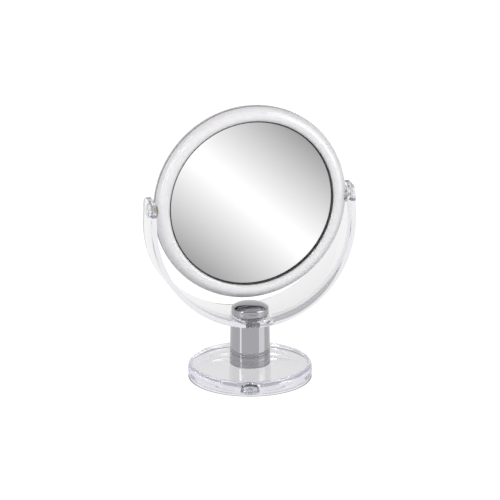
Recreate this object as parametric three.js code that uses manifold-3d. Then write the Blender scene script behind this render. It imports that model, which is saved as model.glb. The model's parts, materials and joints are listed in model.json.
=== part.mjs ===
// Countertop mirror: a round two-sided mirror that tilts in a clear yoke on a chrome column.
// Millimetres, +Z up. The origin is the centre of the base's underside, the tilt axis runs
// along X, and at rest the plain mirror faces -Y.
import * as THREE from 'three';
import { mergeVertices } from 'three/addons/utils/BufferGeometryUtils.js';
import Module from 'manifold-3d';

const wasm = await Module();
wasm.setup();

// ---------------------------------------------------------------- driving dimensions
const BASE_RADIUS = 57.1;         // at the underside of the rounded lip
const BASE_HEIGHT = 13.4;
const BASE_FLOOR_Z = 12.4;        // sunk top face inside the raised rim
const BOLT_RECESS_TOP_Z = 8.7;    // top of the recess that takes the bolt's head
const BOLT_RECESS_RADIUS = 9.5;
const BASE_RIM_WIDTH = 4.4;
const BASE_LIP_Z = 7;             // underside of the lip
const BASE_LIP_ROUND = 3.2;       // how far in the lip's rounding reaches
const BASE_WALL_RADIUS = 56.8;    // side wall under the lip
const BASE_FOOT_TOP_Z = 4.2;      // where the side wall starts to round in to the foot
const BASE_FOOT_RADIUS = 53.5;
const BASE_EDGE = 0.2;            // small edges of the rim

const COLUMN_FOOT_RADIUS = 18.8;
const COLUMN_HEAD_RADIUS = 17.85;
const COLUMN_WALL = 1.0;

const PIVOT_HEIGHT = 166.4;       // tilt axis above the table

const YOKE_BOTTOM_Z = 55.3;
const YOKE_THICKNESS = 4.6;
const YOKE_OUTER_RADIUS = 95.9;   // half the width across the legs, and the arc's radius
const YOKE_END_WIDTH = 28.4;      // front to back, at the tilt axis
const YOKE_FOOT_WIDTH = 56.8;     // front to back, at the column
const YOKE_END_RISE = 10.6;       // top of the legs above the tilt axis
const YOKE_END_CORNER = 9.1;
const YOKE_PAD_HEIGHT = 2.5;      // round pad that fills in between the band and the column

const CAP_RADIUS = 17.1;
const CAP_SIDE_TOP_Z = 65.2;
const CAP_RIM_ROUND = 1.8;
const CAP_APEX_Z = 70.2;
const CAP_EDGE = 0.4;
const CAP_DOME_DIP = 0.5;         // how far the dome starts below the top of the rim's rounding

const RING_RADIUS = 90.2;
const RING_HALF_DEPTH = 9.5;
const RING_CREST_RADIUS = 81.8;
const LIP_RADIUS = 76.75;         // visible radius of the mirrors
const LIP_Y = 6.3;                // lip edge, in front of or behind the seam plane
const SEAM_GAP = 0.3;

const GLASS_RADIUS = 79;
const GLASS_THICKNESS = 2;
const GLASS_FACE_Y = 5.9;
const GLASS_EDGE = 0.4;
const SPACER_WIDTH = 7;
const MAGNIFIER_CURVATURE = 800;  // radius of the concave face

const PIVOT_HOLE_RADIUS = 6.5;
const PIVOT_SCREW_RADIUS = 2;
const HAIRLINE = 0.05;            // gap between parts that are pressed together
const CLEARANCE = 0.15;
const REST_GAP = 0.3;
const OVERCUT = 2;                // how far a cutting shape runs past the part

const BOLT_RADIUS = 2.5;

// values that follow from the ones above
const YOKE_INNER_RADIUS = YOKE_OUTER_RADIUS - YOKE_THICKNESS;
const YOKE_ARC_Z = YOKE_BOTTOM_Z + YOKE_OUTER_RADIUS;
const YOKE_SEAT_Z = YOKE_BOTTOM_Z + YOKE_THICKNESS;
const YOKE_TOP_Z = PIVOT_HEIGHT + YOKE_END_RISE;

// segments round each kind of turned piece
const RING_SEGMENTS = 48;
const BODY_SEGMENTS = 40;
const SMALL_SEGMENTS = 16;

// ---------------------------------------------------------------- materials
function material(color, roughness, metalness = 0, opacity = 1) {
  return new THREE.MeshStandardMaterial({
    color, roughness, metalness, opacity, transparent: opacity < 1,
  });
}

const clearPlastic = () => material(0xeeedf4, 0.05, 0, 0.4);
const pearlPlastic = () => material(0xecebef, 0.18, 0, 0.85);
const chrome = () => material(0xc9cace, 0.06, 1);
const mirrorSilver = () => material(0xf2f3f4, 0.02, 1);
const zincSteel = () => material(0x9a9ca0, 0.35, 1);
const brass = () => material(0xb5943f, 0.35, 1);
const whiteNylon = () => material(0xf0efe9, 0.5);
const greyCore = () => material(0x8d8f93, 0.6);

// ---------------------------------------------------------------- shape helpers
const group = new THREE.Group();
group.name = 'countertop_mirror';

function place(name, geometry, meshMaterial, z = 0) {
  const mesh = new THREE.Mesh(geometry, meshMaterial);
  mesh.name = name;
  mesh.position.z = z;
  group.add(mesh);
}

function points(pairs) {
  return pairs.map(([radius, along]) => new THREE.Vector2(radius, along));
}

// Points of an elliptical arc in a turned profile, angles in degrees from the radial direction.
function arcPoints([centreRadius, centreAlong], [semiRadial, semiAlong], from, to, steps) {
  const arc = [];
  for (let i = 0; i <= steps; i += 1) {
    const angle = THREE.MathUtils.degToRad(from + ((to - from) * i) / steps);
    arc.push([
      centreRadius + semiRadial * Math.cos(angle),
      centreAlong + semiAlong * Math.sin(angle),
    ]);
  }
  return arc;
}

// A profile is a list of [radius, distance along the axis], outer side running forwards.
// One that doesn't end on the axis closes on itself.
function turned(profile, segments) {
  const closed = profile[0][0] > 0 ? [...profile, profile[0]] : profile;
  return new THREE.LatheGeometry(points(closed), segments);
}

const aboutZ = (geometry) => geometry.rotateX(Math.PI / 2);
const aboutX = (geometry, side) => geometry.rotateZ((-side * Math.PI) / 2);

function toSolid(geometry) {
  const bare = geometry.clone();
  bare.deleteAttribute('normal');
  bare.deleteAttribute('uv');
  const merged = mergeVertices(bare, 1e-4);
  const triVerts = [];
  const index = merged.index.array;
  for (let i = 0; i < index.length; i += 3) {
    const [a, b, c] = index.slice(i, i + 3);
    if (a !== b && b !== c && c !== a) {
      triVerts.push(a, b, c);
    }
  }
  return new wasm.Manifold(new wasm.Mesh({
    numProp: 3,
    vertProperties: new Float32Array(merged.attributes.position.array),
    triVerts: new Uint32Array(triVerts),
  }));
}

function toGeometry(solid) {
  const mesh = solid.getMesh();
  const geometry = new THREE.BufferGeometry();
  geometry.setAttribute('position', new THREE.BufferAttribute(mesh.vertProperties, 3));
  geometry.setIndex(new THREE.BufferAttribute(mesh.triVerts, 1));
  geometry.computeVertexNormals();
  return geometry;
}

// A plain turned collar or disc between two stations along its axis.
function collar(innerRadius, outerRadius, from, to, segments = SMALL_SEGMENTS) {
  return turned([
    [innerRadius, from], [outerRadius, from], [outerRadius, to], [innerRadius, to],
  ], segments);
}

// ---------------------------------------------------------------- base
function baseDisc() {
  const holeRadius = BOLT_RADIUS + REST_GAP;
  const floorRadius = BASE_RADIUS - BASE_RIM_WIDTH;
  return turned([
    [holeRadius, BOLT_RECESS_TOP_Z],
    [BOLT_RECESS_RADIUS, BOLT_RECESS_TOP_Z],
    [BOLT_RECESS_RADIUS, 0],
    ...arcPoints(
      [BASE_FOOT_RADIUS, BASE_FOOT_TOP_Z],
      [BASE_WALL_RADIUS - BASE_FOOT_RADIUS, BASE_FOOT_TOP_Z], -90, 0, 4,
    ),
    [BASE_WALL_RADIUS, BASE_LIP_Z - BASE_EDGE],
    ...arcPoints(
      [BASE_RADIUS - BASE_LIP_ROUND, BASE_LIP_Z],
      [BASE_LIP_ROUND, BASE_HEIGHT - BASE_LIP_Z], 0, 90, 5,
    ),
    [floorRadius + BASE_EDGE, BASE_HEIGHT - BASE_EDGE],
    [floorRadius, BASE_FLOOR_Z],
    [holeRadius, BASE_FLOOR_Z],
  ], RING_SEGMENTS);
}

// ---------------------------------------------------------------- column
const COLUMN_TOP_Z = YOKE_BOTTOM_Z - CLEARANCE;
const BUSH_FLANGE = 0.8;
const BUSH_FLANGE_RADIUS = 9;

function columnSleeve() {
  return turned([
    [COLUMN_FOOT_RADIUS - COLUMN_WALL, BASE_FLOOR_Z],
    [COLUMN_FOOT_RADIUS, BASE_FLOOR_Z],
    [COLUMN_HEAD_RADIUS, COLUMN_TOP_Z],
    [COLUMN_HEAD_RADIUS - COLUMN_WALL, COLUMN_TOP_Z],
  ], BODY_SEGMENTS);
}

function columnCore() {
  const skin = COLUMN_WALL + CLEARANCE;
  const bore = BOLT_RADIUS + REST_GAP;
  const seatZ = COLUMN_TOP_Z - BUSH_FLANGE;
  return turned([
    [bore, BASE_FLOOR_Z],
    [COLUMN_FOOT_RADIUS - skin, BASE_FLOOR_Z],
    [COLUMN_HEAD_RADIUS - skin, COLUMN_TOP_Z],
    [BUSH_FLANGE_RADIUS + REST_GAP, COLUMN_TOP_Z],
    [BUSH_FLANGE_RADIUS + REST_GAP, seatZ],
    [bore, seatZ],
  ], BODY_SEGMENTS);
}

// ---------------------------------------------------------------- centre fastening
const WASHER_THICKNESS = 1.2;
const BOLT_HEAD_HEIGHT = 3.2;
const BOLT_HEAD_RADIUS = 4.75;
const BOLT_HEAD_CHAMFER = 1;
const BOLT_TIP_CHAMFER = 0.7;
const BOLT_TIP_GAP = 0.8;         // between the bolt's end and the end of the cap's bore
const WASHER_RADIUS = 8;
const CAP_BORE_TOP_Z = 67.6;
const CAP_FOOT_Z = YOKE_SEAT_Z + CLEARANCE;
const SPRING_POCKET_Z = CAP_FOOT_Z + 1.1;
const SPRING_RADIUS = 11.5;
const INSERT_RADIUS = 4;
const SPRING_BORE_RADIUS = INSERT_RADIUS + 0.6;

function centreBolt() {
  const shoulderZ = BOLT_RECESS_TOP_Z - WASHER_THICKNESS;
  const headZ = shoulderZ - BOLT_HEAD_HEIGHT;
  const tipZ = CAP_BORE_TOP_Z - BOLT_TIP_GAP;
  return turned([
    [0, headZ],
    [BOLT_HEAD_RADIUS - BOLT_HEAD_CHAMFER, headZ],
    [BOLT_HEAD_RADIUS, headZ + BOLT_HEAD_CHAMFER],
    [BOLT_HEAD_RADIUS, shoulderZ],
    [BOLT_RADIUS, shoulderZ],
    [BOLT_RADIUS, tipZ - BOLT_TIP_CHAMFER],
    [BOLT_RADIUS - BOLT_TIP_CHAMFER, tipZ],
    [0, tipZ],
  ], SMALL_SEGMENTS);
}

// Nylon bush round the bolt: the yoke's centre hole turns on it.
const YOKE_HOLE_RADIUS = 6.2;

function swivelBush() {
  const bore = BOLT_RADIUS + CLEARANCE;
  const sleeveRadius = YOKE_HOLE_RADIUS - REST_GAP;
  const flangeZ = COLUMN_TOP_Z - BUSH_FLANGE + HAIRLINE;
  const endZ = YOKE_SEAT_Z - 2 * HAIRLINE;
  return turned([
    [bore, flangeZ],
    [BUSH_FLANGE_RADIUS, flangeZ],
    [BUSH_FLANGE_RADIUS, COLUMN_TOP_Z],
    [sleeveRadius, COLUMN_TOP_Z],
    [sleeveRadius, endZ],
    [bore, endZ],
  ], SMALL_SEGMENTS);
}

function topCap() {
  const rimRadius = CAP_RADIUS - CAP_RIM_ROUND;
  const domeZ = CAP_SIDE_TOP_Z + CAP_RIM_ROUND - CAP_DOME_DIP;
  const bore = INSERT_RADIUS + CLEARANCE;
  const pocketRadius = SPRING_RADIUS + REST_GAP;
  return turned([
    [0, CAP_BORE_TOP_Z],
    [bore, CAP_BORE_TOP_Z],
    [bore, SPRING_POCKET_Z],
    [pocketRadius, SPRING_POCKET_Z],
    [pocketRadius, CAP_FOOT_Z],
    [CAP_RADIUS - CAP_EDGE, CAP_FOOT_Z],
    [CAP_RADIUS, CAP_FOOT_Z + CAP_EDGE],
    ...arcPoints([rimRadius, CAP_SIDE_TOP_Z], [CAP_RIM_ROUND, CAP_RIM_ROUND], 0, 60, 2),
    ...arcPoints([0, domeZ], [rimRadius, CAP_APEX_Z - domeZ], 25, 90, 4),
  ], BODY_SEGMENTS);
}

// Wave washer under the cap: it presses on the yoke so that the yoke stays where it is turned.
function frictionSpring() {
  return collar(SPRING_BORE_RADIUS, SPRING_RADIUS, CAP_FOOT_Z, SPRING_POCKET_Z - 2 * HAIRLINE);
}

function capInsert() {
  return collar(
    BOLT_RADIUS + HAIRLINE, INSERT_RADIUS, SPRING_POCKET_Z + 2 * HAIRLINE, CAP_BORE_TOP_Z - REST_GAP,
  );
}

// ---------------------------------------------------------------- yoke
// The band seen from the front: straight legs joined by a half circle.
function bandSolid() {
  const shape = new THREE.Shape();
  shape.moveTo(-YOKE_OUTER_RADIUS, YOKE_TOP_Z);
  shape.lineTo(-YOKE_OUTER_RADIUS, YOKE_ARC_Z);
  shape.absarc(0, YOKE_ARC_Z, YOKE_OUTER_RADIUS, Math.PI, 2 * Math.PI, false);
  shape.lineTo(YOKE_OUTER_RADIUS, YOKE_TOP_Z);
  shape.lineTo(YOKE_INNER_RADIUS, YOKE_TOP_Z);
  shape.lineTo(YOKE_INNER_RADIUS, YOKE_ARC_Z);
  shape.absarc(0, YOKE_ARC_Z, YOKE_INNER_RADIUS, 0, Math.PI, true);
  shape.closePath();
  const depth = YOKE_FOOT_WIDTH + 2 * OVERCUT;
  const band = new THREE.ExtrudeGeometry(shape, { depth, bevelEnabled: false, curveSegments: 20 });
  band.rotateX(Math.PI / 2);
  band.translate(0, depth / 2, 0);
  return toSolid(band);
}

// The band seen from the side: wide at the column, narrow at the tilt axis, round at the top.
function sideSolid() {
  const foot = YOKE_FOOT_WIDTH / 2;
  const end = YOKE_END_WIDTH / 2;
  const flat = end - YOKE_END_CORNER;
  const cornerZ = YOKE_TOP_Z - YOKE_END_CORNER;
  const shape = new THREE.Shape();
  shape.moveTo(-foot, YOKE_BOTTOM_Z - OVERCUT);
  shape.lineTo(foot, YOKE_BOTTOM_Z - OVERCUT);
  shape.lineTo(foot, YOKE_BOTTOM_Z);
  shape.lineTo(end, PIVOT_HEIGHT);
  shape.absarc(flat, cornerZ, YOKE_END_CORNER, 0, Math.PI / 2, false);
  shape.absarc(-flat, cornerZ, YOKE_END_CORNER, Math.PI / 2, Math.PI, false);
  shape.lineTo(-end, PIVOT_HEIGHT);
  shape.lineTo(-foot, YOKE_BOTTOM_Z);
  shape.closePath();
  const depth = 2 * (YOKE_OUTER_RADIUS + OVERCUT);
  const side = new THREE.ExtrudeGeometry(shape, { depth, bevelEnabled: false, curveSegments: 4 });
  side.rotateX(Math.PI / 2);
  side.rotateZ(Math.PI / 2);
  side.translate(-depth / 2, 0, 0);
  return toSolid(side);
}

function rod(radius, from, to) {
  const profile = [[0, from], [radius, from], [radius, to], [0, to]];
  return turned(profile, SMALL_SEGMENTS * 2);
}

// A round pad under the band meets the column, and a flat counterbore above takes the cap.
function yoke() {
  const reach = YOKE_OUTER_RADIUS + OVERCUT;
  const pivotBore = toSolid(aboutX(rod(PIVOT_HOLE_RADIUS, -reach, reach), 1));
  const padTop = YOKE_BOTTOM_Z + YOKE_PAD_HEIGHT;
  const pad = toSolid(aboutZ(rod(COLUMN_HEAD_RADIUS, YOKE_BOTTOM_Z, padTop)));
  const capSeat = toSolid(aboutZ(rod(
    CAP_RADIUS + REST_GAP, YOKE_SEAT_Z, YOKE_SEAT_Z + 2 * OVERCUT,
  )));
  const centreBore = toSolid(aboutZ(rod(
    YOKE_HOLE_RADIUS, YOKE_BOTTOM_Z - OVERCUT, YOKE_SEAT_Z + OVERCUT,
  )));
  const band = bandSolid().intersect(sideSolid()).add(pad);
  return toGeometry(band
    .subtract(capSeat)
    .subtract(centreBore)
    .subtract(pivotBore.translate([0, 0, PIVOT_HEIGHT])));
}

// ---------------------------------------------------------------- tilt pivots
// Stations along X, measured from the middle of the mirror.
const BOSS_FACE_X = 90.3;
const BOSS_RADIUS = 7.5;
const FLANGE_RADIUS = 8;
const FLANGE_IN_X = BOSS_FACE_X + CLEARANCE;
const FLANGE_OUT_X = YOKE_INNER_RADIUS - CLEARANCE;
const BUSH_FLOOR_THICKNESS = 1.5;
const PIVOT_SPRING_HEIGHT = 0.6;
const SCREW_HEAD_HEIGHT = 1.5;
const COVER_DEPTH = 0.8;          // how far the cover stands out, and how far its rim goes in
const BUSH_FLOOR_X = FLANGE_OUT_X + BUSH_FLOOR_THICKNESS;
const SCREW_SEAT_X = BUSH_FLOOR_X + PIVOT_SPRING_HEIGHT;
const SCREW_HEAD_X = SCREW_SEAT_X + SCREW_HEAD_HEIGHT;
const BUSH_END_X = YOKE_OUTER_RADIUS - COVER_DEPTH;
const COVER_FACE_X = YOKE_OUTER_RADIUS + COVER_DEPTH;
const SLEEVE_RADIUS = PIVOT_HOLE_RADIUS - REST_GAP;
const SCREW_HEAD_RADIUS = 4.3;
const INSERT_END_X = 88.6;
const INSERT_START_X = 81.4;
const PIVOT_INSERT_RADIUS = 3.2;
const SCREW_TIP_X = INSERT_START_X + 0.6;
const SCREW_HEAD_CHAMFER = 0.6;
const SOCKET_RADIUS = SCREW_HEAD_RADIUS + 0.4;
const SPIGOT_RADIUS = SCREW_HEAD_RADIUS + 0.1;
const BOSS_CHAMFER = 0.5;

function pivotBush() {
  const bore = PIVOT_SCREW_RADIUS + CLEARANCE;
  return turned([
    [bore, FLANGE_IN_X],
    [FLANGE_RADIUS, FLANGE_IN_X],
    [FLANGE_RADIUS, FLANGE_OUT_X],
    [SLEEVE_RADIUS, FLANGE_OUT_X],
    [SLEEVE_RADIUS, BUSH_END_X],
    [SOCKET_RADIUS, BUSH_END_X],
    [SOCKET_RADIUS, BUSH_FLOOR_X],
    [bore, BUSH_FLOOR_X],
  ], SMALL_SEGMENTS);
}

function pivotScrew() {
  return turned([
    [0, SCREW_TIP_X],
    [PIVOT_SCREW_RADIUS, SCREW_TIP_X],
    [PIVOT_SCREW_RADIUS, SCREW_SEAT_X],
    [SCREW_HEAD_RADIUS, SCREW_SEAT_X],
    [SCREW_HEAD_RADIUS, SCREW_HEAD_X - SCREW_HEAD_CHAMFER],
    [SCREW_HEAD_RADIUS - SCREW_HEAD_CHAMFER, SCREW_HEAD_X],
    [0, SCREW_HEAD_X],
  ], SMALL_SEGMENTS);
}

function pivotSpring() {
  return collar(
    PIVOT_SCREW_RADIUS + CLEARANCE, SCREW_HEAD_RADIUS, BUSH_FLOOR_X + HAIRLINE, SCREW_SEAT_X - HAIRLINE,
  );
}

// Clear snap-in cover: a shallow dome over the hole, with a spigot in the bush.
function pivotCover() {
  const domeX = YOKE_OUTER_RADIUS + CLEARANCE;
  return turned([
    [0, SCREW_HEAD_X + REST_GAP],
    [SPIGOT_RADIUS, SCREW_HEAD_X + REST_GAP],
    [SPIGOT_RADIUS, BUSH_END_X + CLEARANCE],
    [SLEEVE_RADIUS, BUSH_END_X + CLEARANCE],
    ...arcPoints([0, domeX], [SLEEVE_RADIUS, COVER_FACE_X - domeX], 0, 90, 4),
  ], SMALL_SEGMENTS);
}

function pivotInsert() {
  return collar(PIVOT_SCREW_RADIUS + HAIRLINE, PIVOT_INSERT_RADIUS, INSERT_START_X, INSERT_END_X);
}

// ---------------------------------------------------------------- head
// One half of the frame, front (facing -1) or rear (facing +1). Its section is half round
// outside, with a lip over the mirror's edge and a straight seat behind the lip.
function ringProfile(facing) {
  const seatRadius = GLASS_RADIUS + REST_GAP;
  const glassSide = GLASS_FACE_Y + CLEARANCE;
  const half = [
    [seatRadius, SEAM_GAP / 2],
    [RING_RADIUS, SEAM_GAP / 2],
    ...arcPoints(
      [RING_CREST_RADIUS, 0], [RING_RADIUS - RING_CREST_RADIUS, RING_HALF_DEPTH], 14, 90, 5,
    ),
    ...arcPoints(
      [RING_CREST_RADIUS, LIP_Y],
      [RING_CREST_RADIUS - LIP_RADIUS, RING_HALF_DEPTH - LIP_Y], 115, 180, 3,
    ),
    [LIP_RADIUS, glassSide],
    [seatRadius, glassSide],
  ];
  if (facing > 0) {
    return half;
  }
  return half.map(([radius, along]) => [radius, -along]).reverse();
}

// The round bosses that carry the pivots are shared between the two halves.
function bossSolid(side, facing) {
  const boss = toSolid(aboutX(turned([
    [0, RING_CREST_RADIUS],
    [BOSS_RADIUS, RING_CREST_RADIUS],
    [BOSS_RADIUS, BOSS_FACE_X - BOSS_CHAMFER],
    [BOSS_RADIUS - BOSS_CHAMFER, BOSS_FACE_X],
    [0, BOSS_FACE_X],
  ], SMALL_SEGMENTS), side));
  const keepSize = 4 * BOSS_RADIUS;
  const keep = new THREE.BoxGeometry(keepSize, keepSize, keepSize);
  keep.translate(side * RING_RADIUS, (facing * (keepSize + SEAM_GAP)) / 2, 0);
  return boss.intersect(toSolid(keep));
}

function ringHalf(facing) {
  let ring = toSolid(turned(ringProfile(facing), RING_SEGMENTS));
  for (const side of [-1, 1]) {
    const seat = toSolid(aboutX(turned([
      [0, INSERT_START_X - REST_GAP],
      [PIVOT_INSERT_RADIUS + CLEARANCE, INSERT_START_X - REST_GAP],
      [PIVOT_INSERT_RADIUS + CLEARANCE, INSERT_END_X + CLEARANCE],
      [PIVOT_SCREW_RADIUS + REST_GAP, INSERT_END_X + CLEARANCE],
      [PIVOT_SCREW_RADIUS + REST_GAP, BOSS_FACE_X + OVERCUT],
      [0, BOSS_FACE_X + OVERCUT],
    ], SMALL_SEGMENTS), side));
    ring = ring.add(bossSolid(side, facing)).subtract(seat);
  }
  return toGeometry(ring);
}

function plainMirror() {
  return turned([
    [0, -GLASS_FACE_Y],
    [GLASS_RADIUS - GLASS_EDGE, -GLASS_FACE_Y],
    [GLASS_RADIUS, -GLASS_FACE_Y + GLASS_EDGE],
    [GLASS_RADIUS, -GLASS_FACE_Y + GLASS_THICKNESS],
    [0, -GLASS_FACE_Y + GLASS_THICKNESS],
  ], RING_SEGMENTS);
}

// The magnifying plate is a shallow dish, hollow side out.
function magnifyingMirror() {
  const steps = 4;
  const front = [];
  for (let i = 0; i <= steps; i += 1) {
    const radius = (GLASS_RADIUS * i) / steps;
    const drop = (GLASS_RADIUS ** 2 - radius ** 2) / (2 * MAGNIFIER_CURVATURE);
    front.push([radius, GLASS_FACE_Y - drop]);
  }
  const back = front.map(([radius, along]) => [radius, along - GLASS_THICKNESS]);
  return turned([...back, ...front.reverse()], RING_SEGMENTS);
}

// Ring between the two plates, which presses each of them against its lip.
function mirrorSpacer() {
  const inner = GLASS_RADIUS - SPACER_WIDTH;
  const outer = GLASS_RADIUS - REST_GAP;
  const gap = GLASS_FACE_Y - GLASS_THICKNESS;
  const dish = (GLASS_RADIUS ** 2 - inner ** 2) / (2 * MAGNIFIER_CURVATURE);
  return turned([
    [inner, -gap + CLEARANCE],
    [outer, -gap + CLEARANCE],
    [outer, gap - CLEARANCE],
    [inner, gap - dish - CLEARANCE],
  ], RING_SEGMENTS);
}

// ---------------------------------------------------------------- assembly
place('base_disc', aboutZ(baseDisc()), clearPlastic());
place('column_sleeve', aboutZ(columnSleeve()), chrome());
place('column_core', aboutZ(columnCore()), greyCore());
place('centre_bolt', aboutZ(centreBolt()), zincSteel());
place('bolt_washer', aboutZ(collar(
  BOLT_RADIUS + REST_GAP, WASHER_RADIUS, BOLT_RECESS_TOP_Z - WASHER_THICKNESS, BOLT_RECESS_TOP_Z,
)), zincSteel());
place('swivel_bush', aboutZ(swivelBush()), whiteNylon());
place('friction_spring', aboutZ(frictionSpring()), zincSteel());
place('cap_insert', aboutZ(capInsert()), brass());
place('top_cap', aboutZ(topCap()), chrome());

place('yoke', yoke(), clearPlastic());

place('front_ring', ringHalf(-1), pearlPlastic(), PIVOT_HEIGHT);
place('rear_ring', ringHalf(1), pearlPlastic(), PIVOT_HEIGHT);
place('plain_mirror', plainMirror(), mirrorSilver(), PIVOT_HEIGHT);
place('magnifying_mirror', magnifyingMirror(), mirrorSilver(), PIVOT_HEIGHT);
place('mirror_spacer', mirrorSpacer(), whiteNylon(), PIVOT_HEIGHT);

for (const [name, side] of [['left', -1], ['right', 1]]) {
  place(`pivot_insert_${name}`, aboutX(pivotInsert(), side), brass(), PIVOT_HEIGHT);
  place(`pivot_screw_${name}`, aboutX(pivotScrew(), side), zincSteel(), PIVOT_HEIGHT);
  place(`pivot_spring_${name}`, aboutX(pivotSpring(), side), zincSteel(), PIVOT_HEIGHT);
  place(`pivot_bush_${name}`, aboutX(pivotBush(), side), clearPlastic(), PIVOT_HEIGHT);
  place(`pivot_cover_${name}`, aboutX(pivotCover(), side), clearPlastic(), PIVOT_HEIGHT);
}

export default group;
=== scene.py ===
"""Looks of the countertop mirror: fine meshes, materials, stage, light and camera.

Lengths in the shape sections are millimetres and are scaled to metres when a mesh is made.
Radii and heights that the frame already holds are read from its nodes' boxes.
"""
import json
import math

import bmesh
import bpy
from mathutils import Matrix, Vector

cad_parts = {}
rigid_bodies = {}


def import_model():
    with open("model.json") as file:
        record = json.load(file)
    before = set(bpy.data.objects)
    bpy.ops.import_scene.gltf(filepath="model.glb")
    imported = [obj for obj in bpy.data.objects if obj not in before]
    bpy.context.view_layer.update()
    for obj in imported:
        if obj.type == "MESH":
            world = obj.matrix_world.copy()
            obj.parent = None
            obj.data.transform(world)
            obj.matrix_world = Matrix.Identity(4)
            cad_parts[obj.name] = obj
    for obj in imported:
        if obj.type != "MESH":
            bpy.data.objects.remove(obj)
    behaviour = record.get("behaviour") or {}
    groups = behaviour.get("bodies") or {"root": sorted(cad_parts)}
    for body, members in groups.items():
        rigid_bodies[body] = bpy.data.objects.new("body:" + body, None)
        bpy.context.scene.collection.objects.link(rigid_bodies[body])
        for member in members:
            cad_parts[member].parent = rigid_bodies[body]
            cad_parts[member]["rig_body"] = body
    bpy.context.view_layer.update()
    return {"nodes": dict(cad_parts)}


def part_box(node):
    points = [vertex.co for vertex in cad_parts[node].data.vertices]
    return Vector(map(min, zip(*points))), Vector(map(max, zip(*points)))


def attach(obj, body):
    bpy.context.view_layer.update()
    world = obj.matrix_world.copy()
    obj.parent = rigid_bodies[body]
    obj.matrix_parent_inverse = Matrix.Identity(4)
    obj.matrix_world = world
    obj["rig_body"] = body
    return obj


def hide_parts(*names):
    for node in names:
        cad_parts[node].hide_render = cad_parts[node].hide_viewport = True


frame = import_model()

MM = 0.001


# ------------------------------------------------------------------ sizes read from the frame
def box_mm(node):
    """Lowest and highest corner of a CAD node, in millimetres."""
    low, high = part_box(node)
    return low / MM, high / MM


base_high = box_mm("base_disc")[1]
sleeve_low, sleeve_high = box_mm("column_sleeve")
cap_low, cap_high = box_mm("top_cap")
yoke_low, yoke_high = box_mm("yoke")
ring_low, ring_high = box_mm("rear_ring")
plain_low, plain_high = box_mm("plain_mirror")

PIVOT_Z = (ring_low.z + ring_high.z) / 2

BASE_RADIUS = base_high.x
BASE_HEIGHT = base_high.z
BASE_FLOOR_Z = sleeve_low.z
BOLT_RECESS_TOP_Z = box_mm("bolt_washer")[1].z
BOLT_RECESS_RADIUS = 9.5
BASE_RIM_WIDTH = 4.4
BASE_LIP_Z = 7.0
BASE_LIP_ROUND = 3.2
BASE_WALL_RADIUS = 56.8
BASE_FOOT_TOP_Z = 4.2
BASE_FOOT_RADIUS = 53.5
BASE_EDGE = 0.2      # small edges of the rim and the bore

COLUMN_FOOT_RADIUS = sleeve_high.x
COLUMN_HEAD_RADIUS = 17.85
COLUMN_WALL = 1.0
COLUMN_TOP_Z = sleeve_high.z
CLEARANCE = 0.15
REST_GAP = 0.3
CONTACT = 0.05       # hairline kept between the clear disc and the parts that touch it

CAP_RADIUS = cap_high.x
CAP_FOOT_Z = cap_low.z
CAP_APEX_Z = cap_high.z
CAP_SIDE_TOP_Z = 65.2
CAP_RIM_ROUND = 1.8
CAP_BORE_TOP_Z = 67.6

YOKE_BOTTOM_Z = yoke_low.z
YOKE_TOP_Z = yoke_high.z
YOKE_OUTER_RADIUS = yoke_high.x
YOKE_THICKNESS = 4.6
YOKE_INNER_RADIUS = YOKE_OUTER_RADIUS - YOKE_THICKNESS
YOKE_ARC_Z = YOKE_BOTTOM_Z + YOKE_OUTER_RADIUS
YOKE_SEAT_Z = YOKE_BOTTOM_Z + YOKE_THICKNESS
YOKE_FOOT_HALF = yoke_high.y
YOKE_END_HALF = 14.2
YOKE_END_CORNER = 9.1
YOKE_HOLE_RADIUS = 6.2
YOKE_EDGE_ROUND = 0.7

RING_RADIUS = ring_high.z - PIVOT_Z
RING_HALF_DEPTH = ring_high.y
RING_CREST_RADIUS = 81.8
LIP_RADIUS = 76.75
LIP_Y = 6.3
SEAM_GAP = 0.3
RING_SKIN = 0.8                    # clear plastic over the pearl
RING_EDGE = 1.9                    # clear plastic outside the pearl, at the rim

GLASS_RADIUS = plain_high.x
GLASS_FACE_Y = -plain_low.y
GLASS_THICKNESS = plain_high.y - plain_low.y
MAGNIFIER_CURVATURE = 800.0
SILVER_RADIUS = 75.7               # the dark paint shows as a thin dark line outside this, a painted shade line for the gap under the lip

PIVOT_HOLE_RADIUS = 6.5
PIVOT_SCREW_RADIUS = 2.0
BOSS_FACE_X = 90.3
BOSS_RADIUS = 7.5
FLANGE_RADIUS = 8.0
BUSH_IN_X = BOSS_FACE_X + CLEARANCE
BUSH_FLANGE_X = YOKE_INNER_RADIUS - CLEARANCE
BUSH_FLOOR_X = BUSH_FLANGE_X + 1.5
BUSH_END_X = YOKE_OUTER_RADIUS - 0.8
SCREW_SEAT_X = BUSH_FLOOR_X + 0.6
SCREW_HEAD_X = SCREW_SEAT_X + 1.5
SCREW_HEAD_RADIUS = 4.3
COVER_FACE_X = YOKE_OUTER_RADIUS + 0.8
SLEEVE_RADIUS = PIVOT_HOLE_RADIUS - REST_GAP
INSERT_START_X = 81.4
INSERT_END_X = 88.6
PIVOT_INSERT_RADIUS = 3.2

BOLT_RADIUS = 2.5
BOLT_HEAD_RADIUS = 4.75
BOLT_HEAD_HEIGHT = 3.2
WASHER_THICKNESS = 1.2
BUSH_FLANGE = 0.8
BUSH_FLANGE_RADIUS = 9.0
SPRING_RADIUS = 11.5
SPRING_POCKET_Z = CAP_FOOT_Z + 1.1
INSERT_RADIUS = 4.0

ROUND = 224          # segments round a large visible turned piece
SMALL_ROUND = 96     # segments round a small one
SHARP_ANGLE = math.radians(32)


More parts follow.
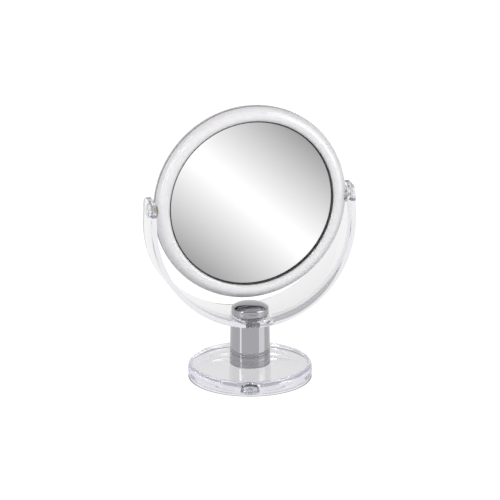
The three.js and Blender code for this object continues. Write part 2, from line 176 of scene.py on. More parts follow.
# ------------------------------------------------------------------ profile helpers
def arc(centre, semi, start, end, steps):
    """Points of an elliptical arc, angles in degrees from the radial direction."""
    found = []
    for i in range(steps + 1):
        angle = math.radians(start + (end - start) * i / steps)
        found.append((centre[0] + semi[0] * math.cos(angle), centre[1] + semi[1] * math.sin(angle)))
    return found


def fillet(before, corner, after, radius, steps):
    """The arc that rounds one corner of a profile."""
    p = Vector(corner)
    u = Vector(before) - p
    v = Vector(after) - p
    half = u.angle(v) / 2
    reach = min(radius / math.tan(half), 0.49 * u.length, 0.49 * v.length)
    true_radius = reach * math.tan(half)
    u.normalize()
    v.normalize()
    centre = p + (u + v).normalized() * (true_radius / math.sin(half))
    first = p + u * reach - centre
    last = p + v * reach - centre
    turn = first.angle_signed(last)
    points = []
    for i in range(steps + 1):
        spoke = first.copy()
        spoke.rotate(Matrix.Rotation(-turn * i / steps, 2))
        points.append(tuple(centre + spoke))
    return points


def rounded(corners, closed=True, steps=5):
    """Profile points from (radius, along) or (radius, along, fillet radius) corners."""
    flat = [tuple(c[:2]) for c in corners]
    points = []
    count = len(corners)
    for i, corner in enumerate(corners):
        inner = closed or 0 < i < count - 1
        if len(corner) > 2 and inner:
            points += fillet(flat[i - 1], flat[i], flat[(i + 1) % count], corner[2], steps)
        else:
            points.append(flat[i])
    return points


def collar(inner, outer, start, end, edge=0.15):
    """Profile of a plain ring with softened edges."""
    corners = [(inner, start), (outer, start), (outer, end), (inner, end)]
    return rounded([(*corner, edge) for corner in corners])


# ------------------------------------------------------------------ mesh helpers
def about_z(radius, along, angle):
    return (radius * math.sin(angle), -radius * math.cos(angle), along)


def about_y(radius, along, angle):
    return (radius * math.sin(angle), along, PIVOT_Z + radius * math.cos(angle))


def about_x(side):
    def turn(radius, along, angle):
        return (side * along, radius * math.sin(angle), PIVOT_Z + radius * math.cos(angle))
    return turn


def make_object(name, points, faces):
    """A closed mesh object with outward faces, from points in millimetres."""
    mesh = bpy.data.meshes.new(name)
    mesh.from_pydata([Vector(p) * MM for p in points], [], faces)
    bm = bmesh.new()
    bm.from_mesh(mesh)
    bmesh.ops.recalc_face_normals(bm, faces=bm.faces)
    bm.to_mesh(mesh)
    bm.free()
    obj = bpy.data.objects.new(name, mesh)
    bpy.context.scene.collection.objects.link(obj)
    return obj


def turned(name, profile, axis, segments=ROUND, shape=None):
    """Turns a profile round an axis. A profile that starts and ends on the axis is a solid one,
    and any other closes on itself. shape(radius, along, angle) may return a changed pair."""
    solid = profile[0][0] < 1e-6
    points = []
    rows = []
    for radius, along in profile:
        if radius < 1e-6:
            rows.append([len(points)] * segments)
            points.append(axis(0.0, along, 0.0))
            continue
        rows.append(list(range(len(points), len(points) + segments)))
        for k in range(segments):
            angle = 2 * math.pi * k / segments
            r, a = shape(radius, along, angle) if shape else (radius, along)
            points.append(axis(r, a, angle))
    faces = []
    pairs = list(zip(rows, rows[1:]))
    if not solid:
        pairs.append((rows[-1], rows[0]))
    for low, high in pairs:
        for k in range(segments):
            n = (k + 1) % segments
            corners = [low[k], low[n], high[n], high[k]]
            faces.append(list(dict.fromkeys(corners)))
    return make_object(name, points, faces)


def apply_modifiers(obj):
    """Keeps what the modifiers make of the mesh, and drops them."""
    depsgraph = bpy.context.evaluated_depsgraph_get()
    mesh = bpy.data.meshes.new_from_object(obj.evaluated_get(depsgraph), depsgraph=depsgraph)
    obj.modifiers.clear()
    obj.data = mesh


def combine(obj, other, operation):
    """Joins, cuts or intersects obj with a helper solid, which is then removed."""
    modifier = obj.modifiers.new("combine", "BOOLEAN")
    modifier.operation = operation
    modifier.solver = "EXACT"
    modifier.object = other
    apply_modifiers(obj)
    bpy.data.objects.remove(other)


def soften(obj, width, segments=3):
    """Rounds the hard edges of a mesh."""
    modifier = obj.modifiers.new("soften", "BEVEL")
    modifier.width = width * MM
    modifier.segments = segments
    modifier.limit_method = "ANGLE"
    modifier.angle_limit = math.radians(40)
    apply_modifiers(obj)


def nest(obj, inner):
    """Add the surface of inner to obj as a second closed skin, in the second material slot."""
    points = [tuple(v.co) for v in obj.data.vertices] + [tuple(v.co) for v in inner.data.vertices]
    faces = [tuple(p.vertices) for p in obj.data.polygons]
    first = len(obj.data.vertices)
    outside = len(faces)
    faces += [tuple(i + first for i in p.vertices) for p in inner.data.polygons]
    smooth = [p.use_smooth for p in obj.data.polygons] + [p.use_smooth for p in inner.data.polygons]
    mesh = bpy.data.meshes.new(obj.name)
    mesh.from_pydata(points, [], faces)
    for face in mesh.polygons:
        face.use_smooth = smooth[face.index]
        face.material_index = int(face.index >= outside)
    obj.data = mesh
    bpy.data.objects.remove(inner)


def rod(radius, start, end, axis, segments=SMALL_ROUND):
    """A plain helper cylinder, used only to join or cut."""
    return turned("helper", [(0, start), (radius, start), (radius, end), (0, end)], axis, segments)


def block(low, high):
    """A plain helper box, used only to cut."""
    (x0, y0, z0), (x1, y1, z1) = low, high
    points = [(x, y, z) for x in (x0, x1) for y in (y0, y1) for z in (z0, z1)]
    faces = [(0, 1, 3, 2), (4, 6, 7, 5), (0, 4, 5, 1), (2, 3, 7, 6), (0, 2, 6, 4), (1, 5, 7, 3)]
    return make_object("helper", points, faces)


def stand_for(obj, node, slot, *materials):
    """Dresses a finished mesh, rides it on its CAD node's body and lets it stand for that node."""
    obj.name = node + "_fine"
    obj.data.name = obj.name
    for material in materials:
        obj.data.materials.append(material)
    obj.data.shade_smooth()
    obj.data.set_sharp_from_angle(angle=SHARP_ANGLE)
    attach(obj, frame["nodes"][node]["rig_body"])
    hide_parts(node)
    return obj


# ------------------------------------------------------------------ material helpers
class Nodes:
    """A new material's node tree, with short calls for the nodes that the materials share."""

    def __init__(self, name):
        self.material = bpy.data.materials.new(name)
        self.material.use_nodes = True
        self.tree = self.material.node_tree
        self.shader = self.tree.nodes["Principled BSDF"]
        self.output = self.tree.nodes["Material Output"]
        self.place = self.tree.nodes.new("ShaderNodeTexCoord").outputs["Object"]

    def link(self, source, target):
        self.tree.links.new(source, target)

    def set(self, **values):
        for key, value in values.items():
            title = key.replace("_", " ").title().replace("Ior", "IOR")
            self.shader.inputs[title].default_value = value

    def stretch(self, x, y, z):
        """Object coordinates scaled by x, y and z."""
        node = self.tree.nodes.new("ShaderNodeMapping")
        node.inputs["Scale"].default_value = (x, y, z)
        self.link(self.place, node.inputs["Vector"])
        return node.outputs["Vector"]

    def noise(self, scale, detail=3.0, vector=None):
        node = self.tree.nodes.new("ShaderNodeTexNoise")
        node.inputs["Scale"].default_value = scale
        node.inputs["Detail"].default_value = detail
        self.link(vector or self.place, node.inputs["Vector"])
        return node.outputs["Fac"]

    def spots(self, scale):
        node = self.tree.nodes.new("ShaderNodeTexVoronoi")
        node.inputs["Scale"].default_value = scale
        self.link(self.place, node.inputs["Vector"])
        return node.outputs["Distance"]

    def spread(self, source, low, high, start=0.3, end=0.7):
        """source from start to end becomes low to high."""
        node = self.tree.nodes.new("ShaderNodeMapRange")
        node.inputs["From Min"].default_value = start
        node.inputs["From Max"].default_value = end
        node.inputs["To Min"].default_value = low
        node.inputs["To Max"].default_value = high
        self.link(source, node.inputs["Value"])
        return node.outputs["Result"]

    def blend(self, factor, first, second):
        """A colour between two, by factor."""
        node = self.tree.nodes.new("ShaderNodeMix")
        node.data_type = "RGBA"
        colours = [s for s in node.inputs if s.type == "RGBA"]
        colours[0].default_value = (*first, 1)
        colours[1].default_value = (*second, 1)
        self.link(factor, node.inputs["Factor"])
        return [s for s in node.outputs if s.type == "RGBA"][0]

    def let_light_through(self, tint):
        """Light that falls through the clear piece goes straight on, as through a thin plate."""
        path = self.tree.nodes.new("ShaderNodeLightPath")
        either = self.tree.nodes.new("ShaderNodeMath")
        either.operation = "MAXIMUM"
        self.link(path.outputs["Is Shadow Ray"], either.inputs[0])
        self.link(path.outputs["Is Diffuse Ray"], either.inputs[1])
        clear = self.tree.nodes.new("ShaderNodeBsdfTransparent")
        clear.inputs["Color"].default_value = (*tint, 1)
        mix = self.tree.nodes.new("ShaderNodeMixShader")
        self.link(either.outputs["Value"], mix.inputs["Fac"])
        self.link(self.shader.outputs["BSDF"], mix.inputs[1])
        self.link(clear.outputs["BSDF"], mix.inputs[2])
        self.link(mix.outputs["Shader"], self.output.inputs["Surface"])

    def bump(self, height, strength, distance):
        node = self.tree.nodes.new("ShaderNodeBump")
        node.inputs["Strength"].default_value = strength
        node.inputs["Distance"].default_value = distance
        self.link(height, node.inputs["Height"])
        self.link(node.outputs["Normal"], self.shader.inputs["Normal"])


def clear_acrylic():
    """Moulded clear plastic: faint flow ripple, handling haze, lavender where it is thick."""
    n = Nodes("clear_acrylic")
    n.set(transmission_weight=1.0, ior=1.49)
    tone = n.blend(n.noise(9.0), (0.985, 0.985, 0.99), (1.0, 1.0, 1.0))
    n.link(tone, n.shader.inputs["Base Color"])
    n.link(n.spread(n.noise(55.0, 5.0), 0.0, 0.035, 0.42, 0.75), n.shader.inputs["Roughness"])
    n.bump(n.noise(28.0, 2.0), 0.002, 0.002)
    absorb = n.tree.nodes.new("ShaderNodeVolumeAbsorption")
    absorb.inputs["Color"].default_value = (0.64, 0.62, 0.78, 1)
    absorb.inputs["Density"].default_value = 4.5
    n.link(absorb.outputs["Volume"], n.output.inputs["Volume"])
    n.let_light_through((0.95, 0.95, 0.96))
    return n.material


def pearl_acrylic():
    """Milky moulded plastic under a polished skin."""
    n = Nodes("pearl_acrylic")
    n.set(ior=1.49, coat_weight=1.0, coat_roughness=0.03)
    n.set(subsurface_weight=0.25, subsurface_scale=0.004)
    n.shader.inputs["Subsurface Radius"].default_value = (1.0, 0.9, 1.0)
    tone = n.blend(n.noise(35.0, 4.0), (0.905, 0.89, 0.90), (0.92, 0.905, 0.915))
    n.link(tone, n.shader.inputs["Base Color"])
    n.link(n.spread(n.noise(140.0, 5.0), 0.24, 0.34), n.shader.inputs["Roughness"])
    n.bump(n.noise(30.0, 1.0), 0.01, 0.001)
    return n.material


def chrome():
    """Bright plating with fine polishing marks and a little handling haze."""
    n = Nodes("chrome")
    n.set(metallic=1.0)
    tone = n.blend(n.noise(14.0), (0.395, 0.395, 0.415), (0.43, 0.43, 0.45))
    n.link(tone, n.shader.inputs["Base Color"])
    n.link(n.spread(n.noise(60.0, 6.0), 0.02, 0.07), n.shader.inputs["Roughness"])
    n.bump(n.noise(900.0, 4.0, n.stretch(1.0, 1.0, 0.05)), 0.015, 0.0002)
    return n.material


def mirror_glass():
    """Polished float glass in front of the silvering."""
    n = Nodes("mirror_glass")
    n.set(transmission_weight=1.0, ior=1.52)
    tone = n.blend(n.noise(12.0), (0.99, 0.99, 0.99), (1.0, 1.0, 1.0))
    n.link(tone, n.shader.inputs["Base Color"])
    n.link(n.spread(n.noise(40.0, 6.0), 0.0, 0.012, 0.5, 0.8), n.shader.inputs["Roughness"])
    return n.material


def silvering():
    """The reflecting coat on the back of the glass."""
    n = Nodes("silvering")
    n.set(metallic=1.0)
    tone = n.blend(n.noise(10.0), (0.945, 0.94, 0.945), (0.965, 0.965, 0.965))
    n.link(tone, n.shader.inputs["Base Color"])
    n.link(n.spread(n.noise(300.0, 4.0), 0.0, 0.008, 0.5, 0.8), n.shader.inputs["Roughness"])
    return n.material


def sealing_paint_and_shade_line():
    """Dark paint over the cut edge and the back of the mirrors. The band of it outside the
    silvering shows inside the lip as a painted shade line for the gap under the lip.
    """
    n = Nodes("sealing_paint_and_shade_line")
    tone = n.blend(n.noise(220.0, 5.0), (0.012, 0.012, 0.014), (0.03, 0.03, 0.033))
    n.link(tone, n.shader.inputs["Base Color"])
    n.link(n.spread(n.noise(500.0, 4.0), 0.5, 0.8), n.shader.inputs["Roughness"])
    n.bump(n.noise(1500.0, 2.0), 0.2, 0.0001)
    return n.material


def zinc_steel():
    """Zinc plated steel: mottled passivation over drawn metal."""
    n = Nodes("zinc_steel")
    n.set(metallic=1.0)
    tone = n.blend(n.spread(n.spots(420.0), 0, 1, 0.1, 0.8), (0.62, 0.64, 0.69), (0.76, 0.77, 0.80))
    n.link(tone, n.shader.inputs["Base Color"])
    n.link(n.spread(n.noise(700.0, 5.0), 0.22, 0.42), n.shader.inputs["Roughness"])
    n.bump(n.noise(1800.0, 3.0), 0.12, 0.0001)
    return n.material


def brass():
    """Turned brass, a little tarnished."""
    n = Nodes("brass")
    n.set(metallic=1.0)
    tone = n.blend(n.spread(n.noise(380.0, 5.0), 0, 1), (0.62, 0.44, 0.17), (0.80, 0.61, 0.28))
    n.link(tone, n.shader.inputs["Base Color"])
    n.link(n.spread(n.noise(900.0, 5.0), 0.2, 0.4), n.shader.inputs["Roughness"])
    n.bump(n.noise(2400.0, 3.0), 0.1, 0.0001)
    return n.material


def white_nylon():
    """Moulded nylon with a fine even grain."""
    n = Nodes("white_nylon")
    n.set(subsurface_weight=0.3, subsurface_scale=0.002)
    tone = n.blend(n.noise(160.0, 4.0), (0.84, 0.84, 0.86), (0.90, 0.90, 0.92))
    n.link(tone, n.shader.inputs["Base Color"])
    n.link(n.spread(n.noise(600.0, 5.0), 0.4, 0.6), n.shader.inputs["Roughness"])
    n.bump(n.noise(2600.0, 3.0), 0.25, 0.0001)
    return n.material


def grey_plastic():
    """Spark-eroded moulded plastic, as inside a plated tube."""
    n = Nodes("grey_plastic")
    tone = n.blend(n.noise(120.0, 5.0), (0.22, 0.225, 0.235), (0.30, 0.305, 0.315))
    n.link(tone, n.shader.inputs["Base Color"])
    n.link(n.spread(n.noise(500.0, 5.0), 0.5, 0.7), n.shader.inputs["Roughness"])
    n.bump(n.spots(1600.0), 0.3, 0.0001)
    return n.material


ACRYLIC = clear_acrylic()
PEARL = pearl_acrylic()
CHROME = chrome()
GLASS = mirror_glass()
SILVER = silvering()
SEAL_PAINT_AND_SHADE = sealing_paint_and_shade_line()
ZINC = zinc_steel()
BRASS = brass()
NYLON = white_nylon()
GREY = grey_plastic()


# ------------------------------------------------------------------ base and column
def base_disc():
    hole = BOLT_RADIUS + REST_GAP
    floor = BASE_RADIUS - BASE_RIM_WIDTH
    side = (BASE_FOOT_RADIUS, BASE_FOOT_TOP_Z)
    crown = (BASE_RADIUS - BASE_LIP_ROUND, BASE_LIP_Z)
    profile = rounded([
        (hole, BOLT_RECESS_TOP_Z, BASE_EDGE),
        (BOLT_RECESS_RADIUS, BOLT_RECESS_TOP_Z, 0.4),
        (BOLT_RECESS_RADIUS, 0, 0.5),
        *arc(side, (BASE_WALL_RADIUS - BASE_FOOT_RADIUS, BASE_FOOT_TOP_Z), -90, 0, 16),
        (BASE_WALL_RADIUS, BASE_LIP_Z - 0.3),
        *arc(crown, (BASE_LIP_ROUND, BASE_HEIGHT - BASE_LIP_Z), 0, 90, 24),
        (floor + BASE_EDGE, BASE_HEIGHT - BASE_EDGE, BASE_EDGE),
        (floor, BASE_FLOOR_Z, 0.5),
        (hole, BASE_FLOOR_Z, BASE_EDGE),
    ])
    stand_for(turned("base", profile, about_z), "base_disc", "clear_acrylic", ACRYLIC)


def column():
    skin = COLUMN_WALL + CLEARANCE
    sleeve = rounded([
        (COLUMN_FOOT_RADIUS - COLUMN_WALL, BASE_FLOOR_Z + CONTACT, 0.2),
        (COLUMN_FOOT_RADIUS, BASE_FLOOR_Z + CONTACT, 0.35),
        (COLUMN_HEAD_RADIUS, COLUMN_TOP_Z, 0.45),
        (COLUMN_HEAD_RADIUS - COLUMN_WALL, COLUMN_TOP_Z, 0.2),
    ])
    stand_for(turned("sleeve", sleeve, about_z), "column_sleeve", "chrome", CHROME)
    bore = BOLT_RADIUS + REST_GAP
    pocket = BUSH_FLANGE_RADIUS + REST_GAP
    seat = COLUMN_TOP_Z - BUSH_FLANGE
    core = rounded([
        (bore, BASE_FLOOR_Z + CONTACT, 0.3),
        (COLUMN_FOOT_RADIUS - skin, BASE_FLOOR_Z + CONTACT, 0.3),
        (COLUMN_HEAD_RADIUS - skin, COLUMN_TOP_Z, 0.3),
        (pocket, COLUMN_TOP_Z, 0.2),
        (pocket, seat, 0.1),
        (bore, seat, 0.3),
    ])
    stand_for(turned("core", core, about_z, SMALL_ROUND), "column_core", "grey_plastic", GREY)


# ------------------------------------------------------------------ fasteners
def threaded(pitch, depth, start, end):
    """A shape function: a thread cut into the outer radius between two stations."""
    def cut(radius, along, angle):
        if not start < along < end:
            return radius, along
        fade = min(1.0, (along - start) / pitch, (end - along) / pitch)
        turn = (along / pitch - angle / (2 * math.pi)) % 1.0
        return radius - depth * fade * abs(2 * turn - 1), along
    return cut


def rows(radius, start, end, step):
    """Profile points along a straight shank, close enough together for its thread."""
    count = max(1, round(abs(end - start) / step))
    return [(radius, start + (end - start) * i / count) for i in range(count + 1)]


def hexagon(across, start, end, axis):
    """A helper prism for a socket."""
    return rod(across / math.sqrt(3), start, end, axis, 6)


def centre_bolt():
    head_top = BOLT_RECESS_TOP_Z - WASHER_THICKNESS
    head_foot = head_top - BOLT_HEAD_HEIGHT
    tip = CAP_BORE_TOP_Z - 0.8
    thread_start = tip - 16.0
    profile = [
        (0, head_foot),
        *rounded([
            (0, head_foot),
            (BOLT_HEAD_RADIUS - 0.6, head_foot, 1.0),
            (BOLT_HEAD_RADIUS, head_foot + 1.2, 0.6),
            (BOLT_HEAD_RADIUS, head_top, 0.15),
            (BOLT_RADIUS, head_top),
        ], closed=False)[1:],
        *rows(BOLT_RADIUS, head_top + 0.4, thread_start, 4.0),
        *rows(BOLT_RADIUS, thread_start + 0.1, tip - 0.8, 0.1)[1:],
        (BOLT_RADIUS - 0.7, tip),
        (0, tip),
    ]
    bolt = turned("bolt", profile, about_z, 48, threaded(0.8, 0.42, thread_start, tip - 0.6))
    combine(bolt, hexagon(3.2, head_foot - 1, head_foot + 1.9, about_z), "DIFFERENCE")
    stand_for(bolt, "centre_bolt", "zinc_steel", ZINC)
    washer = collar(BOLT_RADIUS + REST_GAP, 8.0,
                    BOLT_RECESS_TOP_Z - WASHER_THICKNESS, BOLT_RECESS_TOP_Z - CONTACT, 0.25)
    stand_for(turned("washer", washer, about_z, SMALL_ROUND), "bolt_washer", "zinc_steel", ZINC)


def swivel_bush():
    bore = BOLT_RADIUS + CLEARANCE
    sleeve = YOKE_HOLE_RADIUS - REST_GAP
    foot = COLUMN_TOP_Z - BUSH_FLANGE + 0.05
    profile = rounded([
        (bore, foot, 0.2),
        (BUSH_FLANGE_RADIUS, foot, 0.25),
        (BUSH_FLANGE_RADIUS, COLUMN_TOP_Z, 0.25),
        (sleeve, COLUMN_TOP_Z, 0.2),
        (sleeve, YOKE_SEAT_Z - 0.1, 0.4),
        (bore, YOKE_SEAT_Z - 0.1, 0.2),
    ])
    stand_for(turned("bush", profile, about_z, SMALL_ROUND), "swivel_bush", "white_nylon", NYLON)


def waved(inner, outer, start, end, waves, thickness):
    """Profile and shape function of a wave washer that just fills start to end."""
    middle = (start + end) / 2
    lift = (end - start - thickness) / 2
    profile = collar(inner, outer, middle - thickness / 2, middle + thickness / 2, 0.08)

    def wave(radius, along, angle):
        return radius, along + lift * math.sin(waves * angle)
    return profile, wave


def friction_spring():
    profile, wave = waved(INSERT_RADIUS + 0.6, SPRING_RADIUS,
                          CAP_FOOT_Z, SPRING_POCKET_Z - 0.1, 3, 0.4)
    spring = turned("spring", profile, about_z, SMALL_ROUND, wave)
    stand_for(spring, "friction_spring", "zinc_steel", ZINC)


def knurled(teeth, depth, outer):
    """A shape function: straight knurling in the outer surface."""
    def cut(radius, along, angle):
        if radius < outer - 0.3:
            return radius, along
        return radius - depth * (0.5 - 0.5 * math.cos(teeth * angle)), along
    return cut


def threaded_insert(node, inner, outer, start, end, axis):
    middle = (start + end) / 2
    profile = rounded([
        (inner, start, 0.15),
        (outer, start, 0.3),
        (outer, middle - 0.5, 0.1),
        (outer - 0.5, middle - 0.4, 0.1),
        (outer - 0.5, middle + 0.4, 0.1),
        (outer, middle + 0.5, 0.1),
        (outer, end, 0.3),
        (inner, end, 0.15),
    ])
    insert = turned("insert", profile, axis, 144, knurled(24, 0.2, outer))
    stand_for(insert, node, "brass", BRASS)


# ------------------------------------------------------------------ cap
def top_cap():
    rim = CAP_RADIUS - CAP_RIM_ROUND
    rim_top = CAP_SIDE_TOP_Z + CAP_RIM_ROUND
    bore = INSERT_RADIUS + CLEARANCE
    pocket = SPRING_RADIUS + REST_GAP
    profile = rounded([
        (0, CAP_BORE_TOP_Z),
        (bore, CAP_BORE_TOP_Z, 0.3),
        (bore, SPRING_POCKET_Z, 0.2),
        (pocket, SPRING_POCKET_Z, 0.2),
        (pocket, CAP_FOOT_Z, 0.2),
        (CAP_RADIUS, CAP_FOOT_Z, 0.5),
        *arc((rim, CAP_SIDE_TOP_Z), (CAP_RIM_ROUND, CAP_RIM_ROUND), 0, 62, 14),
        *arc((0, rim_top - 0.5), (rim, CAP_APEX_Z - rim_top + 0.5), 22, 90, 26),
    ], closed=False)
    stand_for(turned("cap", profile, about_z), "top_cap", "chrome", CHROME)


# ------------------------------------------------------------------ yoke
def band_half_width(z):
    """Half the band's width at a height: a wedge below the tilt axis, round corners at the top."""
    corner_z = YOKE_TOP_Z - YOKE_END_CORNER
    if z > corner_z:
        lift = min(z - corner_z, YOKE_END_CORNER)
        return YOKE_END_HALF - YOKE_END_CORNER + math.sqrt(YOKE_END_CORNER ** 2 - lift ** 2)
    if z > PIVOT_Z:
        return YOKE_END_HALF
    share = (PIVOT_Z - z) / (PIVOT_Z - YOKE_BOTTOM_Z)
    return YOKE_END_HALF + (YOKE_FOOT_HALF - YOKE_END_HALF) * share


def band_stations():
    """(outer, inner) point pairs in the XZ plane, from the left leg's top to the right one's."""
    corner_z = YOKE_TOP_Z - YOKE_END_CORNER
    heights = [corner_z + YOKE_END_CORNER * math.sin(math.radians(a)) for a in range(90, -1, -6)]
    heights += [PIVOT_Z, PIVOT_Z - 8]
    left = [((-YOKE_OUTER_RADIUS, z), (-YOKE_INNER_RADIUS, z)) for z in heights]
    middle = []
    steps = 180
    for i in range(steps + 1):
        angle = math.pi + math.pi * i / steps
        c, s = math.cos(angle), math.sin(angle)
        middle.append((
            (YOKE_OUTER_RADIUS * c, YOKE_ARC_Z + YOKE_OUTER_RADIUS * s),
            (YOKE_INNER_RADIUS * c, YOKE_ARC_Z + YOKE_INNER_RADIUS * s),
        ))
    right = [((-outer[0], outer[1]), (-inner[0], inner[1])) for outer, inner in reversed(left)]
    return left + middle + right


def yoke():
    points = []
    for outer, inner in band_stations():
        for (x, z), side in ((outer, -1), (outer, 1), (inner, 1), (inner, -1)):
            points.append((x, side * band_half_width(z), z))
    count = len(points) // 4
    faces = [(0, 1, 2, 3), tuple(4 * (count - 1) + k for k in range(4))]
    for i in range(count - 1):
        for k in range(4):
            n = (k + 1) % 4
            faces.append((4 * i + k, 4 * i + n, 4 * i + 4 + n, 4 * i + 4 + k))
    band = make_object("yoke", points, faces)
    soften(band, YOKE_EDGE_ROUND, 4)
    pad = rod(COLUMN_HEAD_RADIUS, YOKE_BOTTOM_Z, YOKE_BOTTOM_Z + 2.5, about_z, 160)
    combine(band, pad, "UNION")
    seat = rod(CAP_RADIUS + REST_GAP, YOKE_SEAT_Z, YOKE_SEAT_Z + 4, about_z, 160)
    combine(band, seat, "DIFFERENCE")
    combine(band, rod(YOKE_HOLE_RADIUS, YOKE_BOTTOM_Z - 2, YOKE_SEAT_Z + 2, about_z), "DIFFERENCE")
    for side in (-1, 1):
        bore = rod(PIVOT_HOLE_RADIUS, YOKE_INNER_RADIUS - 2, YOKE_OUTER_RADIUS + 2, about_x(side))
        combine(band, bore, "DIFFERENCE")
    stand_for(band, "yoke", "clear_acrylic", ACRYLIC)


# ------------------------------------------------------------------ tilt pivots
def pivot(name, side):
    axis = about_x(side)
    threaded_insert("pivot_insert_" + name, PIVOT_SCREW_RADIUS + 0.05, PIVOT_INSERT_RADIUS,
                    INSERT_START_X, INSERT_END_X, axis)

    bore = PIVOT_SCREW_RADIUS + CLEARANCE
    socket = SCREW_HEAD_RADIUS + 0.4
    profile = rounded([
        (bore, BUSH_IN_X, 0.2),
        (FLANGE_RADIUS, BUSH_IN_X, 0.3),
        (FLANGE_RADIUS, BUSH_FLANGE_X, 0.3),
        (SLEEVE_RADIUS, BUSH_FLANGE_X, 0.1),
        (SLEEVE_RADIUS, BUSH_END_X, 0.3),
        (socket, BUSH_END_X, 0.2),
        (socket, BUSH_FLOOR_X, 0.2),
        (bore, BUSH_FLOOR_X, 0.2),
    ])
    bush = turned("bush", profile, axis, SMALL_ROUND)
    stand_for(bush, "pivot_bush_" + name, "clear_acrylic", ACRYLIC)

    profile, wave = waved(PIVOT_SCREW_RADIUS + 0.2, SCREW_HEAD_RADIUS,
                          BUSH_FLOOR_X + 0.05, SCREW_SEAT_X - 0.05, 3, 0.25)
    spring = turned("spring", profile, axis, SMALL_ROUND, wave)
    stand_for(spring, "pivot_spring_" + name, "zinc_steel", ZINC)

    tip = INSERT_START_X + 0.6
    screw = turned("screw", [
        (0, tip),
        (PIVOT_SCREW_RADIUS - 0.5, tip),
        *rows(PIVOT_SCREW_RADIUS, tip + 0.5, INSERT_END_X + 1, 0.1),
        *rounded([
            (PIVOT_SCREW_RADIUS, INSERT_END_X + 1.2),
            (PIVOT_SCREW_RADIUS, SCREW_SEAT_X),
            (SCREW_HEAD_RADIUS, SCREW_SEAT_X, 0.2),
            (SCREW_HEAD_RADIUS, SCREW_HEAD_X - 0.5, 0.5),
            (SCREW_HEAD_RADIUS - 1.2, SCREW_HEAD_X, 0.8),
            (0, SCREW_HEAD_X),
        ], closed=False),
    ], axis, 48, threaded(0.7, 0.36, tip + 0.4, INSERT_END_X + 1))
    for across, along in ((2.3, 0.4), (0.4, 2.3)):
        combine(screw, block(
            (min(side * (SCREW_HEAD_X - 1.0), side * (SCREW_HEAD_X + 1)), -across, PIVOT_Z - along),
            (max(side * (SCREW_HEAD_X - 1.0), side * (SCREW_HEAD_X + 1)), across, PIVOT_Z + along),
        ), "DIFFERENCE")
    stand_for(screw, "pivot_screw_" + name, "zinc_steel", ZINC)

    spigot = SCREW_HEAD_RADIUS + 0.1
    profile = rounded([
        (0, SCREW_HEAD_X + REST_GAP),
        (spigot, SCREW_HEAD_X + REST_GAP, 0.15),
        (spigot, BUSH_END_X + CLEARANCE, 0.1),
        (SLEEVE_RADIUS, BUSH_END_X + CLEARANCE, 0.2),
        (SLEEVE_RADIUS, YOKE_OUTER_RADIUS + 0.1, 0.3),
        *arc((0, YOKE_OUTER_RADIUS + 0.1),
             (SLEEVE_RADIUS - 0.3, COVER_FACE_X - YOKE_OUTER_RADIUS - 0.1), 20, 90, 14),
    ], closed=False)
    cover = turned("cover", profile, axis, SMALL_ROUND)
    stand_for(cover, "pivot_cover_" + name, "clear_acrylic", ACRYLIC)


# ------------------------------------------------------------------ head
def ring_section(skin, edge):
    """Section of a ring half, drawn in by skin all round and by edge at its rim."""
    seat = GLASS_RADIUS + REST_GAP
    glass_side = GLASS_FACE_Y + CLEARANCE
    seam = SEAM_GAP / 2
    return rounded([
        (seat + skin, seam + skin),
        (RING_RADIUS - edge, seam + skin, 0.15),
        *arc((RING_CREST_RADIUS, 0),
             (RING_RADIUS - RING_CREST_RADIUS - edge, RING_HALF_DEPTH - skin), 12, 90, 26),
        *arc((RING_CREST_RADIUS, LIP_Y),
             (RING_CREST_RADIUS - LIP_RADIUS - skin, RING_HALF_DEPTH - LIP_Y - skin), 96, 180, 14),
        (LIP_RADIUS + skin, glass_side + skin, 0.1),
        (seat + skin, glass_side + skin),
    ])


def ring_half(node, facing):
    """A clear skin over a pearl core, which stops short of the rim."""
    def solid(name, skin, edge):
        profile = [(radius, facing * along) for radius, along in ring_section(skin, edge)]
        return turned(name, profile, about_y, 288)

    ring = solid("ring", 0, 0)
    core = solid("ring_core", RING_SKIN, RING_EDGE)
    for side in (-1, 1):
        axis = about_x(side)
        boss = turned("helper", rounded([
            (0, RING_CREST_RADIUS),
            (BOSS_RADIUS, RING_CREST_RADIUS),
            (BOSS_RADIUS, BOSS_FACE_X, 0.4),
            (0, BOSS_FACE_X),
        ], closed=False), axis, SMALL_ROUND)
        ends = sorted((side * (RING_CREST_RADIUS - 5), side * (BOSS_FACE_X + 5)))
        across = sorted((facing * SEAM_GAP / 2, facing * (BOSS_RADIUS + 5)))
        keep = block((ends[0], across[0], PIVOT_Z - 20), (ends[1], across[1], PIVOT_Z + 20))
        combine(boss, keep, "INTERSECT")
        combine(ring, boss, "UNION")
        socket = PIVOT_INSERT_RADIUS + CLEARANCE
        bore = rod(socket, INSERT_START_X - REST_GAP, INSERT_END_X + CLEARANCE, axis)
        combine(ring, bore, "DIFFERENCE")
        bore = rod(PIVOT_SCREW_RADIUS + REST_GAP, INSERT_END_X - 1, BOSS_FACE_X + 2, axis)
        combine(ring, bore, "DIFFERENCE")
        bore = rod(socket + RING_SKIN, INSERT_START_X - REST_GAP - RING_SKIN, BOSS_FACE_X, axis)
        combine(core, bore, "DIFFERENCE")
    nest(ring, core)
    stand_for(ring, node, "pearl_acrylic", ACRYLIC, PEARL)


def dress_plate(plate, node, reflecting):
    """Glass in front, silvering behind it, and dark sealing paint round the edge, whose band
    outside the silvering is a painted shade line for the gap under the lip.
    reflecting is the side that the silvering shows through: -1 for front, 1 for rear."""
    stand_for(plate, node, "silvered_glass", GLASS, SILVER, SEAL_PAINT_AND_SHADE)
    silvered = SILVER_RADIUS * MM
    for face in plate.data.polygons:
        centre = face.center
        radius = math.hypot(centre.x, centre.z - PIVOT_Z * MM)
        outward = face.normal.y * reflecting
        # faces outside the silvering take the dark paint: a painted shade line inside the lip
        if abs(outward) < 0.5 or radius > silvered:
            face.material_index = 2
        elif outward < 0:
            face.material_index = 1


